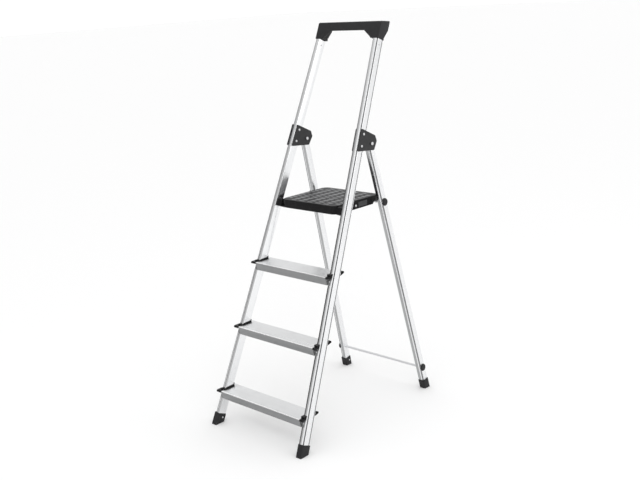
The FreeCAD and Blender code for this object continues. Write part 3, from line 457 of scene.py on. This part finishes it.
def stile_paint(normal, centre):
    """Bright faces; painted shade: a dark metal in the corner groove with its lip wall and in the rear
    groove, a darker copy of the metal on the front bevel.
    """
    across = abs(centre.x)
    # Painted shade: the corner groove with its lip wall and the rear groove take the dark groove metal.
    front = 0.0024 < centre.y < 0.006 and 0.0011 < across < STILE_GROOVE
    rear = STILE_DEPTH - 0.0074 < centre.y < STILE_DEPTH - 0.003 and 0.0001 < across < 0.002
    # Painted shade: the front bevel takes the darker copy of the stile metal.
    bevel = 0.0001 < centre.y < 0.0019 and 0.005 < across < 0.0126
    return 1 if front or rear else 2 if bevel else 0


def build_stile(side_name, side):
    bm = bmesh.new()
    sweep(bm, [stile_section(side)], stile_frame(side), STILE_START, STILE_END)
    paint(bm, stile_frame(side), stile_paint)
    finish_piece("stile_" + side_name + "_extrusion", bm, [STILE_METAL, GROOVE_SHADE_METAL, BEVEL_SHADE_METAL],
                 "front_frame", ["stile_" + side_name], 25.0)


for side_name, side in SIDES:
    build_stile(side_name, side)


# --------------------------------------------------------------------- rear legs

def rear_section(side, inset=0.0):
    """Flat front with a bevel and a groove at its outer corner, ribbed outer web; plain when inset."""
    w = REAR_WIDTH / 2 - inset
    d = REAR_DEPTH / 2 - inset
    if inset:
        line = [(-w, -d, 0.0007), (w - 0.0076, -d, 0.0009), (w, -(d - 0.0043), 0.0009)]
    else:
        line = [(-w, -d, 0.0007), (w - 0.0100, -d, 0.0009), (w - REAR_GROOVE, -(d - 0.0016), 0.0004),
                (w - 0.0046, -(d - 0.0042), 0.0002), (w - 0.0016, -(d - 0.0046), 0.0002),
                (w - 0.0010, -(d - 0.0030), 0.0003), (w, -(d - 0.0038), 0.0004)]
        for y in (-0.0065, -0.0005, 0.0055):
            line += [(w, y, 0), (w - 0.00018, y + 0.0004, 0),
                     (w - 0.00018, y + 0.0012, 0), (w, y + 0.0016, 0)]
    line += [(w, d - 0.0016, 0.0006), (w - 0.0016, d, 0.0006), (-w, d, 0.0008)]
    return [(side * x, y) for x, y in rounded(line, 3)]


def rear_paint(normal, centre):
    """Painted shade: a darker copy of the leg metal on the flat front and a dark metal in the groove; the
    web keeps the bright metal.
    """
    behind = centre.y + REAR_DEPTH / 2
    # Painted shade: the groove faces take the dark groove metal.
    if 0.0018 < behind < 0.0049 and REAR_WIDTH / 2 - REAR_GROOVE < abs(centre.x):
        return 2
    # Painted shade: the flat front faces take the darker front metal.
    return 1 if normal.y < -0.985 and centre.y < 0 else 0


def build_rear_leg(side_name, side):
    bm = bmesh.new()
    top = HINGE.z * rear_direction(side).length + 0.014
    sweep(bm, [rear_section(side), rear_section(side, REAR_WALL)], rear_frame(side), 0.012, top)
    paint(bm, rear_frame(side), rear_paint)
    finish_piece("rear_leg_" + side_name + "_extrusion", bm, [REAR_METAL, REAR_FRONT_SHADE_METAL, GROOVE_SHADE_METAL],
                 "rear_frame", ["rear_leg_" + side_name], 25.0)


for side_name, side in SIDES:
    build_rear_leg(side_name, side)


# ------------------------------------------------------------------------ treads

def tread_top_section():
    """Finely ribbed top, rear flange with a lip, stiffening ribs below."""
    skin = TREAD_SKIN
    depth = TREAD_DEPTH
    line = [(0.0046, 0.0, 0)]
    count = 24
    pitch = (depth - 0.014) / count
    for i in range(count):
        y = 0.009 + pitch * i
        line += [(y, 0.0, 0), (y + 0.0003, -0.0002, 0), (y + 0.0007, -0.0002, 0), (y + 0.001, 0.0, 0)]
    drop = TREAD_LIP_DROP
    line += [
        (depth, 0.0, 0.0018), (depth, -drop, 0.0008), (depth - TREAD_LIP, -drop, 0.0006),
        (depth - TREAD_LIP, skin - drop, 0.0004), (depth - skin, skin - drop, 0.0006),
        (depth - skin, -skin, 0.0006)]
    for share in (0.67, 0.34):
        y = depth * share
        line += [(y + 0.0016, -skin, 0), (y + 0.0014, -0.0078, 0), (y + 0.0002, -0.0078, 0), (y, -skin, 0)]
    line += [(0.0046, -skin, 0.0)]
    return rounded(line, 3)


def tread_flange_section():
    """Rolled nose and the flange that leans back below it."""
    return rounded([
        (0.0048, 0.0, 0), (0.0, 0.0, 0.0042), (FLANGE_BACK, -FLANGE_DROP, 0.0006),
        (FLANGE_BACK + FLANGE_SKIN, -FLANGE_DROP, 0.0006), (FLANGE_SKIN + 0.0004, -TREAD_SKIN - 0.0015, 0.0),
        (0.0048, -TREAD_SKIN, 0)], 6)


def tread_paint(normal, centre):
    """Satin top, painted highlight on the nose roll, painted shade on the flange and tabs; x is the depth
    here, y the height.
    """
    # Painted shade: faces low on the flange and tabs take the dark flange metal.
    if centre.y < -0.0035:
        return 2
    # Painted highlight: the nose roll faces take the bright nose metal.
    return 1 if centre.x < 0.0047 else 0


def build_tread(name, height):
    """Top and flange, with an end return, a tab and a rear wing at each stile."""
    bm = bmesh.new()
    inner = stile_inner(height)
    nose_y = FRONT_LINE + STILE_SLOPE * height - NOSE_REACH
    half = inner - TREAD_END_GAP
    matrix = Matrix(((0, 0, 1, 0), (1, 0, 0, nose_y), (0, 1, 0, height), (0, 0, 0, 1)))
    sweep(bm, [tread_top_section()], matrix, -half, half)
    sweep(bm, [tread_flange_section()], matrix, -(inner + 0.001), inner + 0.001)

    contact = NOSE_REACH - TAB_GAP
    lean = Matrix.Rotation(math.pi / 2 - LEAN, 4, "X")
    face = Matrix.Translation(Vector((0, nose_y + contact, height))) @ lean
    top = Matrix.Translation(Vector((0, nose_y, height)))
    low, high = -FLANGE_DROP / math.cos(LEAN), -TAB_DROP / math.cos(LEAN)
    for _, side in SIDES:
        x0, x1 = side * (inner - 0.0075), side * (inner + TAB_LAP)
        sweep(bm, [rounded([(x0, low, 0), (x1, low, 0.005), (x1, high, 0.001), (x0, high, 0)], 5)],
              face, 0.0, FLANGE_SKIN * math.cos(LEAN))
        ends = sorted((side * (inner - 0.0014), side * (inner + 0.001)))
        sweep(bm, [[(0.002, -0.001), (FLANGE_BACK + 0.0012, -0.0315), (FLANGE_BACK + 0.0018, -0.0315),
                    (contact - 0.007, -TAB_DROP - 0.0005), (contact - 0.0039, -0.006),
                    (contact - 0.0039, -0.001)]], matrix, *ends)
        edge = side * half
        sweep(bm, [[(edge - side * 0.001, TREAD_DEPTH - 0.019), (edge, TREAD_DEPTH - 0.019),
                    (edge + side * 0.0171, TREAD_DEPTH - 0.0005), (edge + side * 0.0171, TREAD_DEPTH),
                    (edge - side * 0.001, TREAD_DEPTH)]], top, -TREAD_SKIN, -0.00001)
        sweep(bm, [[(edge - side * 0.001, 0.0044), (edge + side * 0.0059, 0.0044),
                    (edge + side * 0.0059, 0.014), (edge - side * 0.001, 0.014)]],
              top, -TREAD_SKIN, -0.00001)
    paint(bm, matrix, tread_paint)
    finish_piece("tread_" + name + "_profile", bm, [TREAD_METAL, NOSE_HIGHLIGHT_METAL, FLANGE_SHADE_METAL], "front_frame",
                 ["tread_" + name], 28.0)


for tread_name, tread_height in TREADS:
    build_tread(tread_name, tread_height)


# ----------------------------------------------------------------- small fixings

def dome(radius, height, depth=0.0, dimple=0.0):
    """Profile of a low domed head on a shank of some depth; dimple sinks its crown."""
    profile = [(0.0, -depth), (radius * 0.55, -depth), (radius * 0.55, 0.0)] if depth else [(0.0, 0.0)]
    profile += [(radius * 0.97, 0.0), (radius, height * 0.22), (radius * 0.97, height * 0.45),
                (radius * 0.86, height * 0.7), (radius * 0.68, height * 0.88)]
    if dimple:
        profile += [(radius * 0.42, height), (radius * 0.3, height - dimple * 0.5),
                    (radius * 0.2, height - dimple), (0.0, height - dimple)]
    else:
        profile += [(radius * 0.4, height * 0.97), (0.0, height)]
    return profile


def heads(name, places, profile, segments, node):
    """Piece of equal bright heads, one at each place, for a node of fasteners."""
    bm = bmesh.new()
    for matrix in places:
        lathe(bm, profile, matrix, segments)
    finish_piece(name, bm, [ZINC], "front_frame", [node], 35.0)


def tread_rivet_places():
    """One through each tab, on the stiles' fronts."""
    for _, tread_height in TREADS:
        z = tread_height - 0.0185
        tab_face = FRONT_LINE + STILE_SLOPE * z - TAB_GAP - FLANGE_SKIN
        for _, side in SIDES:
            place = Vector((side * (stile_inner(z) + 0.0065), tab_face, z))
            yield Matrix.Translation(place) @ Matrix.Rotation(math.pi / 2 - LEAN, 4, "X")


def on_stile(side, back, along, proud=0.0):
    """Two places on a stile's outer and inner webs, facing away from the stile."""
    for x, turn in ((side * proud, side), (-side * (STILE_WIDTH + proud), -side)):
        local = Matrix.Translation(Vector((x, back, along)))
        yield stile_frame(side) @ local @ Matrix.Rotation(turn * math.pi / 2, 4, "Y")


def to_stile(y, z):
    """Depth behind the stile's front face and distance up it, for a point y, z."""
    back = y - STILE_SLOPE * z
    return back * math.cos(LEAN), z / math.cos(LEAN) + back * math.sin(LEAN)


def tray_rivet_places():
    for _, side in SIDES:
        yield from on_stile(side, STILE_DEPTH * 0.45, STILE_END - 0.022)


def hinge_rivet_places():
    """Two rivets a side, on the faces of the outer and inner hinge plates."""
    for _, side in SIDES:
        for y, z in ((0.501, 1.0998), (0.483, 1.0573)):
            yield from on_stile(side, *to_stile(y, z), HINGE_PLATE_FACE)


def build_hinge_pins():
    bm = bmesh.new()
    for _, side in SIDES:
        centre = Vector((side * REAR_SPREAD_HINGE, HINGE.y, HINGE.z))
        for end in (-1, 1):
            place = along_x(centre + Vector((end * 0.018, 0, 0)), end)
            lathe(bm, dome(0.0064, 0.0025, 0.006, 0.0008), place, 36)
        lathe(bm, [(0.004, -0.0175), (0.004, 0.0175)], along_x(centre), 28)
    finish_piece("hinge_pin_heads", bm, [ZINC], "front_frame", ["hinge_pins"], 35.0)


heads("tread_rivet_heads", tread_rivet_places(), dome(0.0036, 0.0014, 0.001, 0.0006), 28, "tread_rivets")
heads("tray_rivet_heads", tray_rivet_places(), dome(0.0034, 0.0014, 0.001, 0.0005), 28, "tray_rivets")
heads("hinge_rivet_heads", hinge_rivet_places(), dome(0.005, 0.0023, 0.003, 0.0007), 32, "hinge_rivets")
build_hinge_pins()


# -------------------------------------------------------------- shapes from CAD

soften("tray", 0.0016, 3)
for side_name, side in SIDES:
    soften("hinge_plate_outer_" + side_name, 0.0007)
    soften("hinge_plate_inner_" + side_name, 0.0007)
    soften("pivot_block_" + side_name, 0.0008)
    soften("rod_cap_" + side_name, 0.0012, 3)
    soften("brace_cap_" + side_name, 0.0012, 3)
    soften("foot_front_" + side_name, 0.0008)
    soften("foot_rear_" + side_name, 0.0008)
    for tread_name, _ in TREADS:
        soften("clip_%s_%s" % (tread_name, side_name), 0.0007)
soften("platform_deck", 0.0005)


# -------------------------------------------------------------- platform surface

def grip_block(bm, x0, x1, y0, y1):
    """Raised block on the platform, kept inside the smooth margin and its rounded corners."""
    limit = DECK_HALF - DECK_BORDER
    x0 = max(x0, -limit)
    x1 = min(x1, limit)
    over = max(0.0, max(abs(x0), abs(x1)) - (limit - DECK_CORNER))
    pull = DECK_BORDER + DECK_CORNER - math.sqrt(max(0.0, DECK_CORNER ** 2 - over ** 2))
    y0 = max(y0, FRONT_LINE + DECK_FRONT + pull)
    y1 = min(y1, FRONT_LINE + DECK_REAR - pull)
    shortest = 0.0035
    if y1 - y0 < shortest:
        return
    outline = rounded([(x0, y0, 0.0016), (x1, y0, 0.0016), (x1, y1, 0.0016), (x0, y1, 0.0016)], 2)
    middle = Vector(((x0 + x1) / 2, (y0 + y1) / 2))
    rings = []
    for inset, z in ((0.0, -0.0004), (0.0, 0.0003), (0.0004, 0.0008), (0.0011, 0.001)):
        ring = []
        for px, py in outline:
            sx = middle.x + (px - middle.x) * (1 - 2 * inset / (x1 - x0))
            sy = middle.y + (py - middle.y) * (1 - 2 * inset / (y1 - y0))
            ring.append(bm.verts.new(Vector((sx, sy, DECK_TOP + z))))
        rings.append(ring)
    count = len(outline)
    for first, second in zip(rings, rings[1:]):
        for i in range(count):
            j = (i + 1) % count
            bm.faces.new((first[i], first[j], second[j], second[i]))
    bm.faces.new(rings[0][::-1])
    bm.faces.new(rings[-1])


def build_grip():
    """Anti-slip surface: a grid of raised pads with a narrow rib between the rows."""
    bm = bmesh.new()
    half_x, half_y = PAD_HALF
    for row in range(-6, 6):
        y = FRONT_LINE + PAD_MIDDLE + PAD_PITCH[1] * row
        for column in range(-3, 4):
            x = PAD_PITCH[0] * column
            grip_block(bm, x - half_x, x + half_x, y - half_y, y + half_y)
        grip_block(bm, -DECK_HALF, DECK_HALF, y + PAD_RIB[0], y + PAD_RIB[1])
    piece = finish_piece("platform_grip_pads", bm, [GRIP_PLASTIC], "platform", [], 50.0)


def build_side_panels():
    """Raised rounded panel on each side of the platform, behind its rivet."""
    bm = bmesh.new()
    front, rear = FRONT_LINE + 0.492, FRONT_LINE + 0.542
    low, high = DECK_TOP - 0.0265, DECK_TOP - 0.0075
    panel = rounded([(front, low, 0.002), (rear, low, 0.002), (rear, high, 0.002), (front, high, 0.002)], 4)
    for _, side in SIDES:
        out = Matrix(((0, 0, side, side * DECK_HALF), (1, 0, 0, 0), (0, 1, 0, 0), (0, 0, 0, 1)))
        sweep(bm, [panel], out, -0.0005, 0.0008)
    piece = finish_piece("platform_side_panels", bm, [PANEL_PLASTIC], "platform", [], 40.0, 0.0004)


build_grip()
build_side_panels()


# ------------------------------------------------------------------------- stage

def build_floor():
    mesh = bpy.data.meshes.new("floor")
    reach = 60.0
    mesh.from_pydata([(-reach, -reach, 0), (reach, -reach, 0), (reach, reach, 0), (-reach, reach, 0)],
                     [], [(0, 1, 2, 3)])
    floor = bpy.data.objects.new("floor", mesh)
    bpy.context.scene.collection.objects.link(floor)
    n = Nodes("pale floor")
    n.set("Base Color", (0.93, 0.93, 0.93, 1))
    n.set("Roughness", 0.85)
    n.set("Specular IOR Level", 0.1)
    mesh.materials.append(n.material)


def build_world():
    """Bright room with soft darker patches low down, so that the metal shows its edges."""
    world = bpy.data.worlds.new("studio")
    bpy.context.scene.world = world
    world.use_nodes = True
    tree = world.node_tree
    light = tree.nodes["Background"]
    light.inputs["Color"].default_value = (1, 1, 1, 1)
    where = tree.nodes.new("ShaderNodeTexCoord").outputs["Generated"]

    def patch(direction, start, stop, amount):
        """Amount that fades in as a direction nears the patch's middle."""
        dot = tree.nodes.new("ShaderNodeVectorMath")
        dot.operation = "DOT_PRODUCT"
        tree.links.new(where, dot.inputs[0])
        dot.inputs[1].default_value = Vector(direction).normalized()
        fall = tree.nodes.new("ShaderNodeMapRange")
        fall.interpolation_type = "SMOOTHSTEP"
        tree.links.new(dot.outputs["Value"], fall.inputs["Value"])
        fall.inputs["From Min"].default_value = start
        fall.inputs["From Max"].default_value = stop
        fall.inputs["To Max"].default_value = amount
        return fall.outputs["Result"]

    level = None
    for part in (patch((-0.96, -0.28, 0.1), 0.84, 0.99, -0.75),
                 patch((-0.66, -0.72, 0.1), 0.75, 0.99, -0.55),
                 patch((0.7, 0.7, 0.08), 0.9, 0.995, -0.2)):
        added = tree.nodes.new("ShaderNodeMath")
        if level:
            tree.links.new(level, added.inputs[0])
        else:
            added.inputs[0].default_value = 1.1
        tree.links.new(part, added.inputs[1])
        level = added.outputs[0]
    tree.links.new(level, light.inputs["Strength"])


def area_light(name, place, target, width, height, power):
    data = bpy.data.lights.new(name, "AREA")
    data.shape = "RECTANGLE"
    data.size = width
    data.size_y = height
    data.energy = power
    light = bpy.data.objects.new(name, data)
    bpy.context.scene.collection.objects.link(light)
    light.location = place
    light.rotation_euler = (Vector(target) - Vector(place)).to_track_quat("-Z", "Y").to_euler()
    light.visible_camera = False


def build_camera():
    """Camera to the right of the ladder's front, a little above the tray, looking down on the treads."""
    data = bpy.data.cameras.new("camera")
    data.lens = 53.358
    data.sensor_width = 36.0
    camera = bpy.data.objects.new("camera", data)
    bpy.context.scene.collection.objects.link(camera)
    yaw = math.radians(44.244)
    pitch = math.radians(14.597)
    roll = math.radians(-3.556)
    forward = Vector((-math.sin(yaw) * math.cos(pitch), math.cos(yaw) * math.cos(pitch), -math.sin(pitch)))
    right = Vector((math.cos(yaw), math.sin(yaw), 0))
    up = right.cross(forward)
    across = math.cos(roll) * right + math.sin(roll) * up
    upward = -math.sin(roll) * right + math.cos(roll) * up
    turn = Matrix((across, upward, -forward)).transposed().to_4x4()
    camera.matrix_world = Matrix.Translation(Vector((2.4941, -2.5324, 1.6159))) @ turn
    bpy.context.scene.camera = camera


build_floor()
build_world()
area_light("key", (2.6, -2.2, 3.0), (0.0, 0.0, 0.8), 1.6, 1.6, 16.0)
area_light("fill", (3.2, 1.8, 1.6), (0.0, 0.1, 0.8), 1.6, 2.2, 6.0)
build_camera()
bpy.context.scene.view_settings.view_transform = "Standard"
